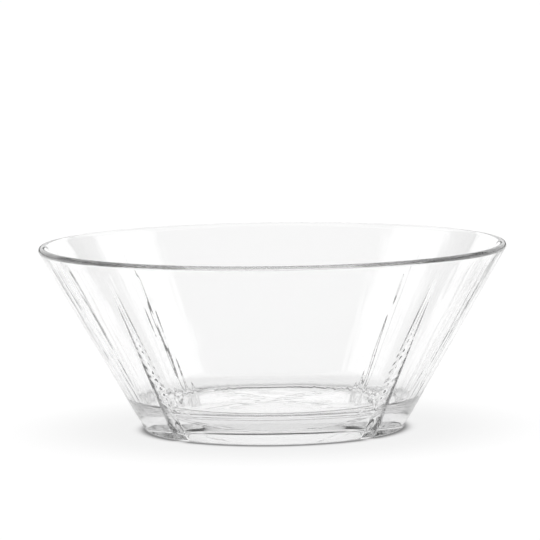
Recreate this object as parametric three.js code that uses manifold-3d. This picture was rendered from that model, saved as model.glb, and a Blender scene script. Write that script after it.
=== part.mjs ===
// A clear pressed-glass serving bowl: a straight flared wall on a thick base, with four flutes pressed
// into the outside that are widest at the table and run out just under the rim.
// Millimetres, +Z up. The origin is on the table, under the middle of the bowl.

import * as THREE from 'three';
import { mergeVertices } from 'three/addons/utils/BufferGeometryUtils.js';
import Module from 'manifold-3d';

const wasm = await Module();
wasm.setup();

// Overall size
const rimDiameter = 260; // across the widest line of the rim
const bowlHeight = 103; // from the table to the top of the rim
const footDiameter = 144; // where the straight outer wall would meet the table

// Glass thickness, measured square to the surface
const rimThickness = 4; // the rim is a full round of this diameter
const wallAtFloor = 5.5; // the wall thickens from the rim to the inside floor
const floorThickness = 6.5; // from the hollow under the base to the inside floor

// Base
const floorFillet = 11; // between the inside floor and the wall
const footEdgeRadius = 2; // on the outer edge of the foot
const footRingWidth = 11; // from the outer wall to the hollow under the base
const hollowDepth = 9.5; // of the hollow under the base
const hollowFillet = 3; // in the corner of that hollow
const hollowEdgeRadius = 1; // on the inner edge of the foot ring
const hollowDraft = THREE.MathUtils.degToRad(12); // lean of the hollow's side, so that it leaves the mould

// Flutes
const fluteCount = 4;
const fluteWidth = 11; // across the mouth of a flute, at the table
const fluteDepth = 1.2; // into the wall, at the table
const scoopDepth = 4.2; // into the wall, at the table, where the foot of a flute is scooped out
const scoopHeight = 12.5; // from the table up to where a scoop leaves the line of the wall
const fluteRunOut = 5; // from the top of the rim down to where a flute ends
const fluteTipRadius = 1.2; // of the round bottom of a flute where it ends
const firstFluteAngle = Math.PI / 4; // from +X, so that a plain panel faces -Y

// Fineness of the facets
const aroundSteps = 96;
const arcStep = THREE.MathUtils.degToRad(18);
const fluteSides = 96;
const weldDistance = 1e-4;

const footRadius = footDiameter / 2;
const rimRound = rimThickness / 2;
const rimCentre = new THREE.Vector2(rimDiameter / 2 - rimRound, bowlHeight - rimRound);
const floorHeight = hollowDepth + floorThickness;

// Lean of the outer wall from the vertical: the line from the foot that just touches the rim's round
const footToRim = rimCentre.clone().sub(new THREE.Vector2(footRadius, 0));
const wallLean = Math.asin(rimRound / footToRim.length()) + Math.atan2(footToRim.x, footToRim.y);

// Lean of the inner wall: a little more, because the wall is thicker at the floor
const wallLength = (rimCentre.y - floorHeight) / Math.cos(wallLean);
const innerLean = wallLean + Math.atan2(wallAtFloor - rimThickness, wallLength);

// The direction that points square out of a wall with this lean, as radius and height
function outOf(lean) {
  return new THREE.Vector2(Math.cos(lean), -Math.sin(lean));
}

// The point on the outer wall at this height
function outerWallAt(height) {
  return new THREE.Vector2(footRadius + height * Math.tan(wallLean), height);
}

// The point on the inner wall at this height, from its tangent point on the rim's round
function innerWallAt(height) {
  const tangent = rimCentre.clone().addScaledVector(outOf(innerLean), -rimRound);
  return new THREE.Vector2(tangent.x + (height - tangent.y) * Math.tan(innerLean), height);
}

// The point on the side of the hollow under the base at this height
function hollowSideAt(height) {
  return new THREE.Vector2(footRadius - footRingWidth - height * Math.tan(hollowDraft), height);
}

// Points along an arc, from one angle to another
function arc(centre, radius, from, to) {
  const steps = Math.ceil(Math.abs(to - from) / arcStep);
  return Array.from({ length: steps + 1 }, (_, i) => {
    const angle = from + ((to - from) * i) / steps;
    return new THREE.Vector2(centre.x + radius * Math.cos(angle), centre.y + radius * Math.sin(angle));
  });
}

// Half of the bowl's section, from the axis under the base, round the rim, to the axis on the floor.
// Each arc is tangent to the straight stretches on both of its sides.
function bowlSection() {
  const down = -Math.PI / 2;
  const up = Math.PI / 2;
  const hollowCentre = hollowSideAt(hollowDepth - hollowFillet);
  hollowCentre.x -= hollowFillet / Math.cos(hollowDraft);
  const hollowEdgeCentre = hollowSideAt(hollowEdgeRadius);
  hollowEdgeCentre.x += hollowEdgeRadius / Math.cos(hollowDraft);
  const footCentre = outerWallAt(footEdgeRadius);
  footCentre.x -= footEdgeRadius / Math.cos(wallLean);
  const filletCentre = innerWallAt(floorHeight + floorFillet);
  filletCentre.x -= floorFillet / Math.cos(innerLean);
  return [
    new THREE.Vector2(0, hollowDepth),
    ...arc(hollowCentre, hollowFillet, up, hollowDraft),
    ...arc(hollowEdgeCentre, hollowEdgeRadius, hollowDraft - Math.PI, down),
    ...arc(footCentre, footEdgeRadius, down, -wallLean),
    ...arc(rimCentre, rimRound, -wallLean, Math.PI - innerLean),
    ...arc(filletCentre, floorFillet, -innerLean, down),
    new THREE.Vector2(0, floorHeight),
  ];
}

// A closed solid from a geometry, with its seams welded and the empty triangles on the axis left out
function solidFrom(geometry) {
  geometry.deleteAttribute('normal');
  geometry.deleteAttribute('uv');
  const welded = mergeVertices(geometry, weldDistance);
  const corners = welded.index.array;
  const triangles = [];
  for (let i = 0; i < corners.length; i += 3) {
    const [a, b, c] = corners.slice(i, i + 3);
    if (a !== b && b !== c && c !== a) {
      triangles.push(a, b, c);
    }
  }
  return new wasm.Manifold(new wasm.Mesh({
    numProp: 3,
    vertProperties: new Float32Array(welded.attributes.position.array),
    triVerts: new Uint32Array(triangles),
  }));
}

function geometryFrom(solid) {
  const mesh = solid.getMesh();
  const geometry = new THREE.BufferGeometry();
  geometry.setAttribute('position', new THREE.BufferAttribute(mesh.vertProperties, 3));
  geometry.setIndex(new THREE.BufferAttribute(mesh.triVerts, 1));
  geometry.computeVertexNormals();
  return geometry;
}

function turnedBowl() {
  const geometry = new THREE.LatheGeometry(bowlSection(), aroundSteps);
  geometry.rotateX(Math.PI / 2);
  return solidFrom(geometry);
}

// Radius of the round that makes a groove of this width and depth
function grooveRadius(width, depth) {
  return (depth + width ** 2 / (4 * depth)) / 2;
}

// A round taper that presses one groove into the wall. It lies in the wall to a depth at the table, and
// leans out so that it only touches the wall at the height where the groove ends.
function grooveCutter(depth, footRound, endHeight, endRound) {
  const outward = outOf(wallLean);
  const foot = outerWallAt(0).addScaledVector(outward, footRound - depth);
  const end = outerWallAt(endHeight).addScaledVector(outward, endRound);

  const axis = end.clone().sub(foot);
  const taper = (footRound - endRound) / axis.length();
  const overrunFoot = 2 * footRound;
  const overrunEnd = endRound;
  const length = overrunFoot + axis.length() + overrunEnd;

  const geometry = new THREE.CylinderGeometry(
    endRound - overrunEnd * taper,
    footRound + overrunFoot * taper,
    length,
    fluteSides,
  );
  geometry.translate(0, length / 2 - overrunFoot, 0);
  geometry.rotateX(Math.PI / 2);
  geometry.rotateY(Math.atan2(axis.x, axis.y));
  geometry.translate(foot.x, 0, foot.y);
  return solidFrom(geometry);
}

// The long flute, and the scoop at its foot
function fluteCutter() {
  const fluteRound = grooveRadius(fluteWidth, fluteDepth);
  const scoopRound = grooveRadius(fluteWidth, scoopDepth);
  const flute = grooveCutter(fluteDepth, fluteRound, bowlHeight - fluteRunOut, fluteTipRadius);
  const scoop = grooveCutter(scoopDepth, scoopRound, scoopHeight, scoopRound);
  return flute.add(scoop);
}

function flutedBowl() {
  const cutter = fluteCutter();
  let bowl = turnedBowl();
  for (let i = 0; i < fluteCount; i += 1) {
    const angle = THREE.MathUtils.radToDeg(firstFluteAngle) + (i * 360) / fluteCount;
    bowl = bowl.subtract(cutter.rotate([0, 0, angle]));
  }
  return bowl;
}

const clearGlass = new THREE.MeshStandardMaterial({
  name: 'clear_glass',
  color: 0xf1f5f4,
  roughness: 0.03,
  metalness: 0,
  transparent: true,
  opacity: 0.3,
});

const glassBowl = new THREE.Mesh(geometryFrom(flutedBowl()), clearGlass);
glassBowl.name = 'glass_bowl';

const bowl = new THREE.Group();
bowl.name = 'bowl';
bowl.add(glassBowl);

export default bowl;
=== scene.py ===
"""Looks of a clear pressed-glass serving bowl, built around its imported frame. Metres, +Z up."""

import math
from collections import namedtuple

import bpy
from mathutils import Matrix, Vector


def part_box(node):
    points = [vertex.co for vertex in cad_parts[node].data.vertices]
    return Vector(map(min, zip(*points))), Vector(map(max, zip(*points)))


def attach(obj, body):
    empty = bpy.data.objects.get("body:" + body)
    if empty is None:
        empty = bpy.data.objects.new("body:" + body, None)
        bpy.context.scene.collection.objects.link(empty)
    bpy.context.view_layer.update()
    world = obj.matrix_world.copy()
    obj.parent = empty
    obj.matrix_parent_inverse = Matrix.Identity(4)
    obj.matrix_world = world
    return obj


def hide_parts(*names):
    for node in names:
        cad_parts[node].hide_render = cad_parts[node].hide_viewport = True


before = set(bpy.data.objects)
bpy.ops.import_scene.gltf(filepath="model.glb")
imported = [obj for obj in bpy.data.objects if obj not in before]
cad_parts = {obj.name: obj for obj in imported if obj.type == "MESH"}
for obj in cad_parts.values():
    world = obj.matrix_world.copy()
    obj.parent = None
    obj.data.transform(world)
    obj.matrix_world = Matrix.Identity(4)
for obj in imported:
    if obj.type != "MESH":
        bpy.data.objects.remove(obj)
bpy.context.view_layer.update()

MM = 0.001
low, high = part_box("glass_bowl")

# Section of the bowl
RIM_RADIUS = (high.x - low.x) / 2
BOWL_HEIGHT = high.z
FOOT_RADIUS = 72 * MM
RIM_ROUND = 2 * MM
WALL_AT_FLOOR = 5.5 * MM
HOLLOW_DEPTH = 9.5 * MM
FLOOR_THICKNESS = 6.5 * MM
FLOOR_FILLET = 11 * MM
FOOT_EDGE_RADIUS = 2 * MM
FOOT_RING_WIDTH = 11 * MM
HOLLOW_FILLET = 3 * MM
HOLLOW_EDGE_RADIUS = 1 * MM
HOLLOW_DRAFT = math.radians(12)
FLOOR_HEIGHT = HOLLOW_DEPTH + FLOOR_THICKNESS

# Flutes
FLUTE_COUNT = 4
FLUTE_HALF_WIDTH = 5.5 * MM
FLUTE_DEPTH = 1.2 * MM
FLUTE_TOP = BOWL_HEIGHT - 5 * MM
FLUTE_SHOULDER = 0.35  # rounding of its edges, as a share of its depth
FLUTE_FADE = 0.35  # top share of a flute, which gets shallow faster than it gets narrow
FIRST_FLUTE = math.pi / 4
SCOOP_DEPTH = 3.4 * MM  # at the table, where the foot of a flute is scooped out
SCOOP_HEIGHT = 12.5 * MM
SCOOP_ROUND = (SCOOP_DEPTH + FLUTE_HALF_WIDTH ** 2 / SCOOP_DEPTH) / 2

# Mesh of the bowl: rows up its section
ARC_STEP = math.radians(7.5)
UNDERSIDE_STEPS = 8
HOLLOW_SIDE_STEPS = 4
FOOT_RING_STEPS = 6
OUTER_WALL_STEPS = 70
INNER_WALL_STEPS = 24
FLOOR_STEPS = 8
POLE_RADIUS = 4 * MM  # of the first and the last ring, which a fan closes

# Mesh of the bowl: columns round it, from the middle of a flute to the middle of a panel
FLUTE_COLUMNS = 20  # to just past the shoulder of the flute
PANEL_COLUMNS = 36  # from there on
FLUTE_REACH = 1.4  # of the flute's columns, in half widths of the flute
LEAST_SPREAD = 1.6 * MM  # the columns of a flute don't close up further than this
MOST_TURN = 0.08  # radians, the most that half a flute takes up near the axis
RATIO_TRIES = 50  # halvings that find how the panel's columns widen
HALF_PANEL = FLUTE_COLUMNS + PANEL_COLUMNS
COLUMNS = 2 * FLUTE_COUNT * HALF_PANEL

# Glass. A pair holds the two values between which something fades in or out.
GLASS_IOR = 1.52
GLASS_DENSITY = 2.0  # loss of light inside the glass, per metre
WAVE_SIZE = 33 * MM
WAVE_HEIGHT = 0.12 * MM
STREAK_ANGLE = 0.09  # radians round the wall
STREAK_HEIGHT = 0.28 * MM
STREAK_BOTTOM = (FLOOR_HEIGHT, FLOOR_HEIGHT + FLOOR_FILLET)
STREAK_TOP = (BOWL_HEIGHT - 8 * MM, BOWL_HEIGHT - 3 * MM)
STREAK_SIDE = (1.0, 2.5)  # from the middle of a flute, in half widths of it
RIPPLE_LENGTH = 4.6 * MM  # along a flute
RIPPLE_HEIGHT = 0.12 * MM
RIPPLE_DRIFT = 14.0  # radians, how far noise shifts the ripples
RIPPLE_DRIFT_SIZE = 3 * RIPPLE_LENGTH
RIPPLE_BOTTOM = (0.8 * SCOOP_HEIGHT, 1.2 * SCOOP_HEIGHT)
RIPPLE_TOP = (35 * MM, 70 * MM)
RIPPLE_SIDE = (0.6, 1.0)  # from the middle of a flute, in half widths of it
WORN_TOP = (0.175 * MM, 0.35 * MM)  # the foot is worn dull up to here
SCUFF_SIZE = 2 * MM
SCUFF_EDGE = (0.35, 0.65)  # in the noise that spreads the scuffs
SCUFF_ROUGHNESS = (0.02, 0.12)  # least and most
NOISE_MIDDLE = 0.5  # what noise is on average

# Shadow of the glass: how much light passes one surface, at the table and higher up
FOOT_SHADE = 0.1
WALL_SHADE = 0.93
SHADE_HEIGHT = 10 * MM
SHADE_EDGE = (2 * MM, 1 * MM)  # in from the edge of the standing flat, where the foot's shade fades in

# Floor and lamp
FLOOR_SIZE = 40.0
FLOOR_GAP = 0.3 * MM
FLOOR_COLOUR = (0.8, 0.8, 0.8, 1)
FLOOR_GLOW = 0.17  # added to the lamp's light, so that the open floor is just white
SUN_STRENGTH = 3.3
SUN_ANGLE = math.radians(46)

# Room. The strips' edges are given as the height of a direction: each edge fades between two values.
STRIP_LEVEL = 1.4
ROOM_LEVEL = 0.03
LOW_STRIP_BOTTOM = (0.055, 0.08)
LOW_STRIP_TOP = (0.43, 0.46)
LOW_STRIP_SIDE = (0.5, 0.75)  # how far out, to either side, its top edge comes down
LOW_STRIP_FALL = 0.27
HIGH_STRIP_BOTTOM = (0.48, 0.51)
HIGH_STRIP_TOP = (0.68, 0.72)
HIGH_STRIP_TILT = 0.09  # its top edge is higher behind the bowl than in front

# Camera
SENSOR = 36.0
FOCAL_PIXELS = 4269
FRAME_PIXELS = 540
LENS = SENSOR * FOCAL_PIXELS / FRAME_PIXELS
CAMERA_DISTANCE = 2.382
CAMERA_ELEVATION = math.radians(7.94)
CAMERA_TARGET = Vector((-1.43, 0, 87.99)) * MM
CAMERA_ROLL = math.radians(-0.747)

# Light paths, long enough for the many surfaces of the base
MOST_BOUNCES = 128
MOST_SHADOW_SURFACES = 40

# A ring of the mesh; press is 1 where the flutes are pressed in and 0 where they aren't
Row = namedtuple("Row", "radius height press")

# Lean of the outer and the inner wall from the vertical, both tangent to the rim's round
rim_centre = Vector((RIM_RADIUS - RIM_ROUND, BOWL_HEIGHT - RIM_ROUND))
run, rise = rim_centre.x - FOOT_RADIUS, rim_centre.y
WALL_LEAN = math.asin(RIM_ROUND / math.hypot(run, rise)) + math.atan2(run, rise)
wall_length = (rim_centre.y - FLOOR_HEIGHT) / math.cos(WALL_LEAN)
INNER_LEAN = WALL_LEAN + math.atan2(WALL_AT_FLOOR - 2 * RIM_ROUND, wall_length)


def outer_wall_radius(height):
    return FOOT_RADIUS + height * math.tan(WALL_LEAN)


def inner_wall_radius(height):
    top_radius = rim_centre.x - RIM_ROUND * math.cos(INNER_LEAN)
    top_height = rim_centre.y + RIM_ROUND * math.sin(INNER_LEAN)
    return top_radius + (height - top_height) * math.tan(INNER_LEAN)


def hollow_side_radius(height):
    return FOOT_RADIUS - FOOT_RING_WIDTH - height * math.tan(HOLLOW_DRAFT)


# Outer edge of the flat that the bowl stands on
FLAT_RADIUS = outer_wall_radius(FOOT_EDGE_RADIUS) - FOOT_EDGE_RADIUS / math.cos(WALL_LEAN)


def arc(radius, height, size, start, end, press=0.0):
    """Rows along an arc of the section about (radius, height)."""
    steps = math.ceil(abs(end - start) / ARC_STEP)
    angles = [start + (end - start) * i / steps for i in range(steps + 1)]
    return [Row(radius + size * math.cos(a), height + size * math.sin(a), press) for a in angles]


def straight(before, after, steps):
    """Rows between two rows, closer together at both ends, where the arcs begin."""
    shares = [0.5 - 0.5 * math.cos(math.pi * i / steps) for i in range(1, steps)]
    return [Row(*(a + (b - a) * s for a, b in zip(before, after))) for s in shares]


def bowl_rows():
    """The bowl's section from under the base, round the rim, to the inside floor."""
    down, up = -math.pi / 2, math.pi / 2
    under = Row(POLE_RADIUS, HOLLOW_DEPTH, 0.0)
    fillet_height = HOLLOW_DEPTH - HOLLOW_FILLET
    hollow = arc(hollow_side_radius(fillet_height) - HOLLOW_FILLET / math.cos(HOLLOW_DRAFT),
                 fillet_height, HOLLOW_FILLET, up, HOLLOW_DRAFT)
    hollow_edge = arc(hollow_side_radius(HOLLOW_EDGE_RADIUS) + HOLLOW_EDGE_RADIUS / math.cos(HOLLOW_DRAFT),
                      HOLLOW_EDGE_RADIUS, HOLLOW_EDGE_RADIUS, HOLLOW_DRAFT - math.pi, down)
    foot = arc(FLAT_RADIUS, FOOT_EDGE_RADIUS, FOOT_EDGE_RADIUS, down, -WALL_LEAN, press=1.0)
    rim = arc(*rim_centre, RIM_ROUND, -WALL_LEAN, math.pi - INNER_LEAN, press=1.0)
    fillet_height = FLOOR_HEIGHT + FLOOR_FILLET
    fillet = arc(inner_wall_radius(fillet_height) - FLOOR_FILLET / math.cos(INNER_LEAN),
                 fillet_height, FLOOR_FILLET, -INNER_LEAN, down)
    floor = Row(POLE_RADIUS, FLOOR_HEIGHT, 0.0)
    return ([under] + straight(under, hollow[0], UNDERSIDE_STEPS)
            + hollow + straight(hollow[-1], hollow_edge[0], HOLLOW_SIDE_STEPS)
            + hollow_edge + straight(hollow_edge[-1], foot[0], FOOT_RING_STEPS)
            + foot + straight(foot[-1], rim[0], OUTER_WALL_STEPS)
            + rim + straight(rim[-1], fillet[0], INNER_WALL_STEPS)
            + fillet + straight(fillet[-1], floor, FLOOR_STEPS) + [floor])


def flute_scale(height):
    """1 at the table and 0 where the flutes run out."""
    return min(max(1 - height / FLUTE_TOP, 0.0), 1.0)


def flute_depth(height, arc_length):
    """How deep a flute is at a height, at a distance round the bowl from its middle line."""
    scale = flute_scale(height)
    if scale == 0:
        return 0.0
    hollow = 1 - (arc_length / (FLUTE_HALF_WIDTH * scale)) ** 2
    shoulder = max(FLUTE_SHOULDER - abs(hollow), 0.0) ** 2 / (4 * FLUTE_SHOULDER)
    fade = 1 - max(1 - scale / FLUTE_FADE, 0.0) ** 2
    return FLUTE_DEPTH * scale * fade * (max(hollow, 0.0) + shoulder)


def scoop_radius(height, arc_length):
    """Distance from the bowl's axis to the scoop at the foot of a flute: the inside of a leaning round."""
    if arc_length >= SCOOP_ROUND:
        return math.inf
    outward = Vector((math.cos(WALL_LEAN), -math.sin(WALL_LEAN)))
    foot = Vector((FOOT_RADIUS, 0)) + (SCOOP_ROUND - SCOOP_DEPTH) * outward
    end = Vector((outer_wall_radius(SCOOP_HEIGHT), SCOOP_HEIGHT)) + SCOOP_ROUND * outward
    along = (end - foot).normalized()
    inside = foot + math.sqrt(SCOOP_ROUND ** 2 - arc_length ** 2) * Vector((-along.y, along.x))
    return inside.x + (height - inside.y) * along.x / along.y


def pressed_radius(radius, height, arc_length):
    """The radius that is left of the plain outside where a flute and its scoop are pressed in."""
    fluted = radius - flute_depth(height, arc_length) / math.cos(WALL_LEAN)
    return min(fluted, scoop_radius(height, arc_length))


def column_angles(row):
    """Angles of a row's columns from the middle of a flute to the middle of a panel: even steps in the
    flute, and then steps that grow by a steady ratio, found by halving."""
    spread = math.hypot(FLUTE_HALF_WIDTH * flute_scale(row.height), LEAST_SPREAD)
    reach = FLUTE_REACH * min(spread / row.radius, MOST_TURN)
    step = reach / FLUTE_COLUMNS
    rest = math.pi / FLUTE_COUNT - reach
    smallest, largest = 1.0, 2.0
    for _ in range(RATIO_TRIES):
        ratio = (smallest + largest) / 2
        total = sum(step * ratio ** i for i in range(1, PANEL_COLUMNS + 1))
        if total < rest:
            smallest = ratio
        else:
            largest = ratio
    angles = [step * i for i in range(FLUTE_COLUMNS + 1)]
    for i in range(1, PANEL_COLUMNS + 1):
        angles.append(angles[-1] + step * ratio ** i)
    return angles


def extrude_rings(rows):
    """Draws a ring and extrudes it from row to row, as on a lathe."""
    bpy.ops.object.select_all(action="DESELECT")
    bpy.ops.mesh.primitive_circle_add(vertices=COLUMNS, radius=rows[0].radius)
    bpy.ops.object.mode_set(mode="EDIT")
    bpy.ops.mesh.select_mode(type="EDGE")
    bpy.ops.mesh.select_all(action="SELECT")
    bpy.ops.transform.translate(value=(0, 0, rows[0].height))
    for before, after in zip(rows, rows[1:]):
        bpy.ops.mesh.extrude_edges_move(
            TRANSFORM_OT_translate={"value": (0, 0, after.height - before.height)})
        growth = after.radius / before.radius
        bpy.ops.transform.resize(value=(growth, growth, 1), center_override=(0, 0, 0))
    bpy.ops.object.mode_set(mode="OBJECT")
    return bpy.context.active_object


def press_flutes(bowl, rows):
    """Draws the columns in towards the flutes and presses the flutes into the outside."""
    angles = [column_angles(row) for row in rows]
    sector = 2 * math.pi / FLUTE_COUNT
    for vertex in bowl.data.vertices:
        ring = vertex.index // COLUMNS
        row = rows[ring]
        turn = math.atan2(vertex.co.y, vertex.co.x) - FIRST_FLUTE
        flute = round(turn / sector)
        column = round((turn - flute * sector) / sector * 2 * HALF_PANEL)
        away = math.copysign(angles[ring][abs(column)], column)
        outside = max(row.radius, FLAT_RADIUS)
        push = outside - pressed_radius(outside, row.height, abs(away) * outside)
        radius = row.radius - row.press * push
        angle = FIRST_FLUTE + flute * sector + away
        vertex.co = (radius * math.cos(angle), radius * math.sin(angle), row.height)


def close_end(bowl, first_vertex):
    """Closes the ring of vertices that starts at this one with a fan to its middle."""
    for vertex in bowl.data.vertices:
        vertex.select = False
    for edge in bowl.data.edges:
        edge.select = all(first_vertex <= v < first_vertex + COLUMNS for v in edge.vertices)
    for polygon in bowl.data.polygons:
        polygon.select = False
    bpy.ops.object.mode_set(mode="EDIT")
    bpy.ops.mesh.extrude_edges_move()
    bpy.ops.mesh.merge(type="CENTER")
    bpy.ops.object.mode_set(mode="OBJECT")


def model_bowl():
    rows = bowl_rows()
    bowl = extrude_rings(rows)
    bowl.name = "bowl_glass"
    press_flutes(bowl, rows)
    close_end(bowl, (len(rows) - 1) * COLUMNS)
    close_end(bowl, 0)
    bpy.ops.object.mode_set(mode="EDIT")
    bpy.ops.mesh.select_all(action="SELECT")
    bpy.ops.mesh.normals_make_consistent(inside=False)
    bpy.ops.object.mode_set(mode="OBJECT")
    bpy.ops.object.shade_smooth()
    return bowl


def fill(tree, socket, value):
    """Sets a socket to a number, or links it to another socket."""
    if isinstance(value, (int, float)):
        socket.default_value = value
    else:
        tree.links.new(value, socket)


def combine(tree, operation, *values):
    """A Math node on numbers or sockets."""
    node = tree.nodes.new("ShaderNodeMath")
    node.operation = operation
    for socket, value in zip(node.inputs, values):
        fill(tree, socket, value)
    return node.outputs["Value"]


def ease(tree, value, start, end, first=0.0, last=1.0):
    """Eases from first to last while the value goes from start to end."""
    node = tree.nodes.new("ShaderNodeMapRange")
    node.interpolation_type = "SMOOTHSTEP"
    for name, number in (("Value", value), ("From Min", start), ("From Max", end),
                         ("To Min", first), ("To Max", last)):
        fill(tree, node.inputs[name], number)
    return node.outputs["Result"]


def between(tree, value, bottom, top):
    """1 between the pair of values where it fades in and the pair where it fades out."""
    return combine(tree, "MULTIPLY", ease(tree, value, *bottom), ease(tree, value, *top, 1.0, 0.0))


def coordinates(tree, kind):
    """Object or Generated coordinates, as a vector and as x, y and z."""
    where = tree.nodes.new("ShaderNodeTexCoord").outputs[kind]
    parts = tree.nodes.new("ShaderNodeSeparateXYZ")
    tree.links.new(where, parts.inputs["Vector"])
    return where, parts.outputs["X"], parts.outputs["Y"], parts.outputs["Z"]


def noise(tree, where, size, detail):
    node = tree.nodes.new("ShaderNodeTexNoise")
    node.inputs["Scale"].default_value = 1 / size
    node.inputs["Detail"].default_value = detail
    tree.links.new(where, node.inputs["Vector"])
    return node.outputs["Fac"]


def new_material(name):
    material = bpy.data.materials.new(name)
    material.use_nodes = True
    material.node_tree.nodes.clear()
    return material, material.node_tree


def off_flute(tree, x, y, z):
    """How far a point is from the middle line of the nearest flute, in half widths of that flute. The
    flutes stand on the diagonals, so x and y are the same size on a middle line."""
    off_middle = combine(tree, "ABSOLUTE", combine(
        tree, "SUBTRACT", combine(tree, "ABSOLUTE", x), combine(tree, "ABSOLUTE", y)))
    half_width = combine(tree, "MULTIPLY", combine(tree, "SUBTRACT", FLUTE_TOP, z),
                         FLUTE_HALF_WIDTH * math.sqrt(2) / FLUTE_TOP)
    return combine(tree, "DIVIDE", off_middle, combine(tree, "MAXIMUM", half_width, LEAST_SPREAD))


def flute_ripples(tree, where, z, off_middle):
    """Uneven waves across the flutes, in their lower part, as heights in metres."""
    inside = ease(tree, off_middle, *RIPPLE_SIDE, 1.0, 0.0)
    mask = combine(tree, "MULTIPLY", inside, between(tree, z, RIPPLE_BOTTOM, RIPPLE_TOP))
    turns = combine(tree, "MULTIPLY", z, 2 * math.pi / RIPPLE_LENGTH)
    uneven = combine(tree, "MULTIPLY", noise(tree, where, RIPPLE_DRIFT_SIZE, detail=1.0), RIPPLE_DRIFT)
    wave = combine(tree, "SINE", combine(tree, "ADD", turns, uneven))
    return combine(tree, "MULTIPLY", mask, combine(tree, "MULTIPLY", wave, 0.5 * RIPPLE_HEIGHT))


def wall_streaks(tree, x, y, z, out, off_middle):
    """Faint lines that run up the wall between the flutes, left by the pressing, as heights in metres."""
    around = tree.nodes.new("ShaderNodeCombineXYZ")
    tree.links.new(combine(tree, "DIVIDE", x, out), around.inputs["X"])
    tree.links.new(combine(tree, "DIVIDE", y, out), around.inputs["Y"])
    tree.links.new(z, around.inputs["Z"])
    beside = ease(tree, off_middle, *STREAK_SIDE)
    mask = combine(tree, "MULTIPLY", beside, between(tree, z, STREAK_BOTTOM, STREAK_TOP))
    uneven = combine(tree, "SUBTRACT", noise(tree, around.outputs["Vector"], STREAK_ANGLE, detail=2.0),
                     NOISE_MIDDLE)
    return combine(tree, "MULTIPLY", mask, combine(tree, "MULTIPLY", uneven, STREAK_HEIGHT))


def clear_glass():
    """Clear pressed glass: slightly wavy, streaked up the wall, rippled in the flutes and worn where it
    stands. Shadow rays pass it, a little dimmed, and more so at the foot, so that it casts a pale shadow."""
    material, tree = new_material("clear_glass")
    where, x, y, z = coordinates(tree, "Object")
    out = combine(tree, "SQRT", combine(
        tree, "ADD", combine(tree, "MULTIPLY", x, x), combine(tree, "MULTIPLY", y, y)))

    glass = tree.nodes.new("ShaderNodeBsdfPrincipled")
    glass.inputs["Base Color"].default_value = (1, 1, 1, 1)
    glass.inputs["IOR"].default_value = GLASS_IOR
    glass.inputs["Transmission Weight"].default_value = 1.0
    scuffs = ease(tree, noise(tree, where, SCUFF_SIZE, detail=2.0), *SCUFF_EDGE, *SCUFF_ROUGHNESS)
    worn = ease(tree, z, *WORN_TOP, 1.0, 0.0)
    tree.links.new(combine(tree, "MULTIPLY", worn, scuffs), glass.inputs["Roughness"])

    # All heights are in metres, so the bump's distance is 1
    off_middle = off_flute(tree, x, y, z)
    waves = combine(tree, "MULTIPLY", noise(tree, where, WAVE_SIZE, detail=1.0), WAVE_HEIGHT)
    lines = combine(tree, "ADD", wall_streaks(tree, x, y, z, out, off_middle),
                    flute_ripples(tree, where, z, off_middle))
    bump = tree.nodes.new("ShaderNodeBump")
    bump.inputs["Distance"].default_value = 1.0
    tree.links.new(combine(tree, "ADD", waves, lines), bump.inputs["Height"])
    tree.links.new(bump.outputs["Normal"], glass.inputs["Normal"])

    dimmed = tree.nodes.new("ShaderNodeBsdfTransparent")
    outside = ease(tree, out, *(FLAT_RADIUS - distance for distance in SHADE_EDGE))
    near_table = ease(tree, z, 0.0, SHADE_HEIGHT, WALL_SHADE - FOOT_SHADE, 0.0)
    loss = combine(tree, "MULTIPLY", outside, near_table)
    tree.links.new(combine(tree, "SUBTRACT", WALL_SHADE, loss), dimmed.inputs["Color"])
    path = tree.nodes.new("ShaderNodeLightPath")
    either = tree.nodes.new("ShaderNodeMixShader")
    tree.links.new(path.outputs["Is Shadow Ray"], either.inputs["Fac"])
    tree.links.new(glass.outputs["BSDF"], either.inputs[1])
    tree.links.new(dimmed.outputs["BSDF"], either.inputs[2])

    body = tree.nodes.new("ShaderNodeVolumeAbsorption")
    body.inputs["Color"].default_value = (0, 0, 0, 1)
    body.inputs["Density"].default_value = GLASS_DENSITY
    output = tree.nodes.new("ShaderNodeOutputMaterial")
    tree.links.new(either.outputs["Shader"], output.inputs["Surface"])
    tree.links.new(body.outputs["Volume"], output.inputs["Volume"])
    return material


def floor_white():
    """White paper: it takes the bowl's shadow, and a little light of its own lifts it to white."""
    material, tree = new_material("floor_white")
    paper = tree.nodes.new("ShaderNodeBsdfDiffuse")
    paper.inputs["Color"].default_value = FLOOR_COLOUR
    lift = tree.nodes.new("ShaderNodeEmission")
    lift.inputs["Strength"].default_value = FLOOR_GLOW
    both = tree.nodes.new("ShaderNodeAddShader")
    output = tree.nodes.new("ShaderNodeOutputMaterial")
    tree.links.new(paper.outputs["BSDF"], both.inputs[0])
    tree.links.new(lift.outputs["Emission"], both.inputs[1])
    tree.links.new(both.outputs["Shader"], output.inputs["Surface"])
    return material


def lay_floor():
    bpy.ops.object.select_all(action="DESELECT")
    bpy.ops.mesh.primitive_plane_add(size=FLOOR_SIZE, location=(0, 0, -FLOOR_GAP))
    floor = bpy.context.active_object
    floor.name = "floor"
    floor.data.materials.append(floor_white())


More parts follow.
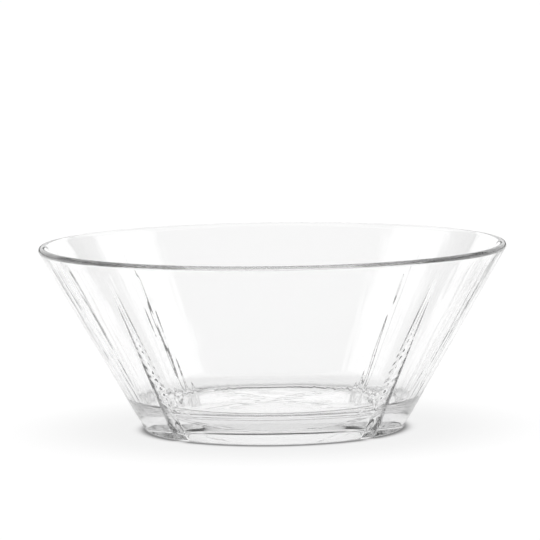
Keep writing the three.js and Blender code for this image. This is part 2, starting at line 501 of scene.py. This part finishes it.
def set_world():
    """A dark room with two white strips round it, for the glass to show: a low one whose top edge comes
    down towards the sides, and a high one. They don't light the floor: the lamp does."""
    world = bpy.data.worlds.new("studio")
    bpy.context.scene.world = world
    world.use_nodes = True
    tree = world.node_tree
    tree.nodes.clear()
    _, x, y, z = coordinates(tree, "Generated")
    beside = ease(tree, combine(tree, "ABSOLUTE", x), *LOW_STRIP_SIDE)
    low_top = combine(tree, "MULTIPLY_ADD", beside, LOW_STRIP_FALL, z)
    low_strip = combine(tree, "MULTIPLY", ease(tree, z, *LOW_STRIP_BOTTOM),
                        ease(tree, low_top, *LOW_STRIP_TOP, 1.0, 0.0))
    high_top = combine(tree, "MULTIPLY_ADD", y, -HIGH_STRIP_TILT, z)
    high_strip = combine(tree, "MULTIPLY", ease(tree, z, *HIGH_STRIP_BOTTOM),
                         ease(tree, high_top, *HIGH_STRIP_TOP, 1.0, 0.0))
    level = combine(tree, "MULTIPLY_ADD", combine(tree, "ADD", low_strip, high_strip),
                    STRIP_LEVEL - ROOM_LEVEL, ROOM_LEVEL)
    path = tree.nodes.new("ShaderNodeLightPath")
    seen = combine(tree, "SUBTRACT", 1.0, path.outputs["Is Diffuse Ray"])
    sky = tree.nodes.new("ShaderNodeBackground")
    output = tree.nodes.new("ShaderNodeOutputWorld")
    tree.links.new(combine(tree, "MULTIPLY", level, seen), sky.inputs["Strength"])
    tree.links.new(sky.outputs["Background"], output.inputs["Surface"])


def hang_lamp():
    """A wide soft lamp straight above. Only the floor and the worn glass take its light: with multiple
    importance sampling off, polished glass doesn't mirror it."""
    data = bpy.data.lights.new("overhead", "SUN")
    data.energy = SUN_STRENGTH
    data.angle = SUN_ANGLE
    data.cycles.use_multiple_importance_sampling = False
    lamp = bpy.data.objects.new("overhead", data)
    bpy.context.scene.collection.objects.link(lamp)


def place_camera():
    data = bpy.data.cameras.new("camera")
    data.lens = LENS
    camera = bpy.data.objects.new("camera", data)
    bpy.context.scene.collection.objects.link(camera)
    place = CAMERA_DISTANCE * Vector((0, -math.cos(CAMERA_ELEVATION), math.sin(CAMERA_ELEVATION)))
    ahead = (CAMERA_TARGET - place).normalized()
    level = ahead.cross(Vector((0, 0, 1))).normalized()
    right = math.cos(CAMERA_ROLL) * level + math.sin(CAMERA_ROLL) * level.cross(ahead)
    above = right.cross(ahead)
    camera.matrix_world = Matrix.Translation(place) @ Matrix((right, above, -ahead)).transposed().to_4x4()
    bpy.context.scene.camera = camera


scene = bpy.context.scene
scene.view_settings.view_transform = "Standard"
scene.cycles.max_bounces = MOST_BOUNCES
scene.cycles.transmission_bounces = MOST_BOUNCES
scene.cycles.glossy_bounces = MOST_BOUNCES
scene.cycles.transparent_max_bounces = MOST_SHADOW_SURFACES
scene.cycles.caustics_refractive = False
scene.cycles.caustics_reflective = False

bowl = model_bowl()
bowl.data.materials.append(clear_glass())
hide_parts("glass_bowl")
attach(bowl, "root")
lay_floor()
set_world()
hang_lamp()
place_camera()
